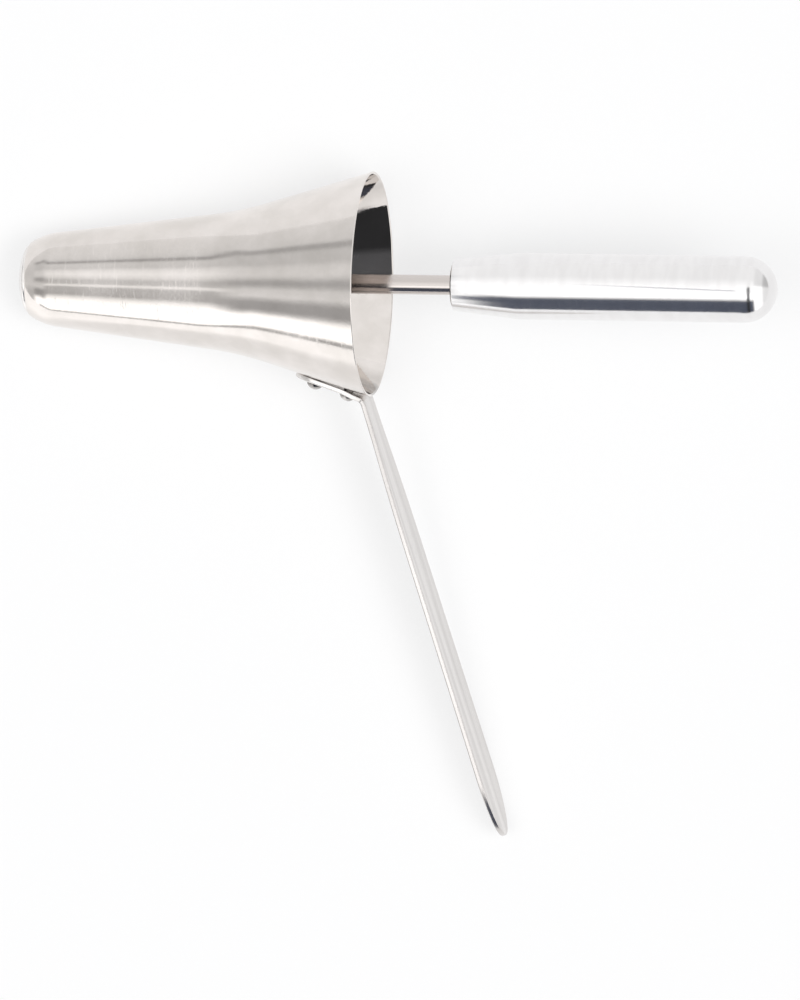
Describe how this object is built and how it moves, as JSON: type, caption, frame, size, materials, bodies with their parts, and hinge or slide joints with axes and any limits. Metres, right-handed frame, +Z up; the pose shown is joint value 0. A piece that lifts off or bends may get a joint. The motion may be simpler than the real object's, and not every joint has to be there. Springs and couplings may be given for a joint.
{
  "type": "tubular speculum",
  "caption": "Tubular speculum: a spun steel sleeve with a trumpet mouth and a riveted strip handle, and a domed obturator on a rod that slides out by its turned grip",
  "frame": {"origin": "centre of the bottom of the whole instrument's bounding box, on the table it lies on", "axes": "+X towards the grip's free end, seen from above along the instrument's axis; the handle points to -Y; +Z up from the table"},
  "size_m": [0.1818, 0.1594, 0.053],
  "materials": {
    "sleeve_steel": "satin stainless steel, polished by hand after spinning",
    "strip_steel": "satin stainless sheet with polished edges",
    "rivet_steel": "polished stainless steel",
    "turned_steel": "bright turned stainless steel",
    "grip_aluminium": "fine turned aluminium"
  },
  "bodies": {
    "speculum": {"speculum_sleeve": "sleeve_steel", "handle_strip": "strip_steel", "rivet_rear": "rivet_steel", "rivet_front": "rivet_steel"},
    "obturator": {"obturator_head": "turned_steel", "obturator_rod": "turned_steel", "obturator_grip": "grip_aluminium"}
  },
  "joints": [
    {"name": "obturator_slide", "type": "slide", "parent": "speculum", "child": "obturator", "axis": [0.98, 0, 0.199], "range_m": [0, 0.09]}
  ]
}
